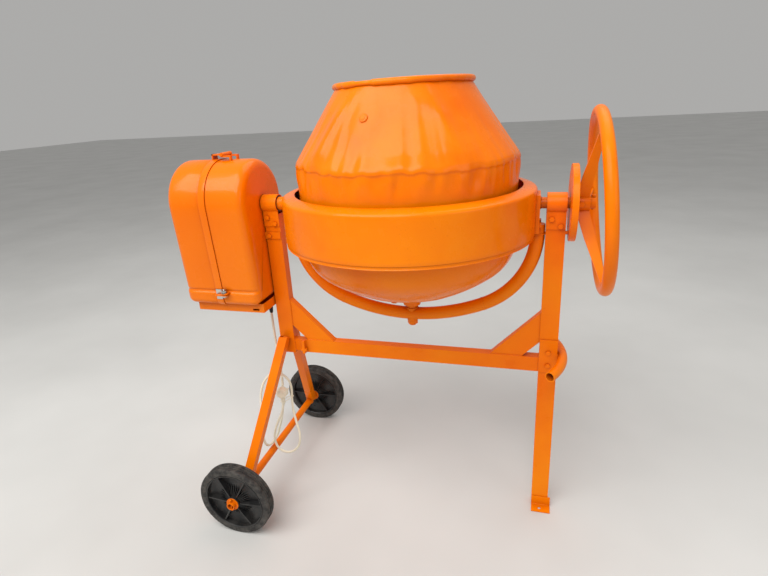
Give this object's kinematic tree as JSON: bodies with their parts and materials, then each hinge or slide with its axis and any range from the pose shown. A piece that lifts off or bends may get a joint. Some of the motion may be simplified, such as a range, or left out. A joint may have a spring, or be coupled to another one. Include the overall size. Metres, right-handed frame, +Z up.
{
  "type": "concrete mixer",
  "caption": "Electric tilting-drum concrete mixer on a two-wheeled steel stand with belt and gear drive, locking handwheel and mains lead.",
  "frame": {"origin": "on the floor below the middle of the whole machine", "axes": "+Z up, +X along the tilt axis towards the handwheel, -Y the side of the switchless front"},
  "size_m": [1.2576, 0.712, 1.309],
  "materials": {
    "paint": "satin, weathered",
    "housing_paint": "glossy",
    "zinc": "zinc plated",
    "bare_steel": "turned",
    "casting": "as cast",
    "black_plastic": "matte",
    "belt_rubber": "matte",
    "wheel_rubber": "matte, dusty",
    "cord_sheath": "matte",
    "start_green": "glossy",
    "stop_red": "glossy"
  },
  "bodies": {
    "stand": {"left_post": "paint", "right_post": "paint", "right_leg": "paint", "joint_plate": "paint", "frame_bolts": "paint", "foot": "paint", "cross_beam": "paint", "beam_socket": "paint", "left_brace": "paint", "right_brace": "paint", "front_wheel_leg": "paint", "rear_wheel_leg": "paint", "axle_tube": "paint", "axle_washers": "bare_steel", "cotter_pins": "paint", "transport_handle": "paint", "left_bearing_bracket": "paint", "right_bearing_bracket": "paint", "left_bearing_bush": "black_plastic", "right_bearing_bush": "black_plastic", "housing_band": "paint", "catch_peg": "paint", "housing_shell": "housing_paint", "housing_base": "housing_paint", "cover_hinge": "housing_paint", "motor": "casting", "motor_shelf": "zinc", "drive_belt": "belt_rubber", "switch_box": "black_plastic", "cord_gland": "black_plastic", "power_cord": "cord_sheath", "power_plug": "cord_sheath"},
    "yoke": {"yoke_tube": "paint", "left_trunnion": "paint", "right_trunnion": "paint", "gear_guard": "paint", "guard_closing_ring": "paint", "yoke_bolts": "paint", "drum_spindle": "bare_steel", "pinion_bearings": "bare_steel"},
    "drum": {"drum_bowl": "paint", "drum_cone": "paint", "ring_gear": "casting", "drum_bolts": "paint", "mixing_blades": "paint"},
    "pinion": {"pinion_shaft": "bare_steel", "drive_pinion": "casting", "large_pulley": "casting"},
    "rotor": {"motor_shaft": "bare_steel", "motor_pulley": "casting"},
    "handwheel": {"handwheel_spider": "paint", "handwheel_rim": "paint", "locking_disc": "paint", "handwheel_bolt": "paint"},
    "cover": {"housing_cover": "housing_paint", "cover_bolt": "zinc"},
    "front_wheel": {"front_wheel": "wheel_rubber"},
    "rear_wheel": {"rear_wheel": "wheel_rubber"},
    "start_button": {"start_button": "start_green"},
    "stop_button": {"stop_button": "stop_red"}
  },
  "joints": [
    {"name": "drum_tilt", "type": "hinge", "parent": "stand", "child": "yoke", "pos_m": [0.087, 0, 0.98], "axis": [1, 0, 0], "range_deg": [-120, 120]},
    {"name": "drum_spin", "type": "hinge", "parent": "yoke", "child": "drum", "pos_m": [0.087, 0, 0.72], "axis": [0, 0, 1], "continuous": true},
    {"name": "pinion_spin", "type": "hinge", "parent": "yoke", "child": "pinion", "pos_m": [-0.3, 0, 0.98], "axis": [1, 0, 0], "continuous": true},
    {"name": "motor_spin", "type": "hinge", "parent": "stand", "child": "rotor", "pos_m": [-0.5, 0, 0.775], "axis": [1, 0, 0], "continuous": true},
    {"name": "handwheel_lock", "type": "slide", "parent": "yoke", "child": "handwheel", "axis": [1, 0, 0], "range_m": [-0.005, 0]},
    {"name": "cover_hinge", "type": "hinge", "parent": "stand", "child": "cover", "pos_m": [-0.475, 0, 1.13], "axis": [0, 1, 0], "range_deg": [0, 80]},
    {"name": "front_wheel_spin", "type": "hinge", "parent": "stand", "child": "front_wheel", "pos_m": [-0.421, -0.317, 0.118], "axis": [0, 1, 0], "continuous": true},
    {"name": "rear_wheel_spin", "type": "hinge", "parent": "stand", "child": "rear_wheel", "pos_m": [-0.421, 0.317, 0.118], "axis": [0, 1, 0], "continuous": true},
    {"name": "start_press", "type": "slide", "parent": "stand", "child": "start_button", "axis": [0, -1, 0], "range_m": [0, 0.004], "stiffness_N_per_m": 500, "springref_m": -0.004},
    {"name": "stop_press", "type": "slide", "parent": "stand", "child": "stop_button", "axis": [0, -1, 0], "range_m": [0, 0.004], "stiffness_N_per_m": 500, "springref_m": -0.004}
  ],
  "couplings": [
    {"joint": "pinion_spin", "follows": "drum_spin", "ratio": -10},
    {"joint": "motor_spin", "follows": "drum_spin", "ratio": -62.83}
  ]
}
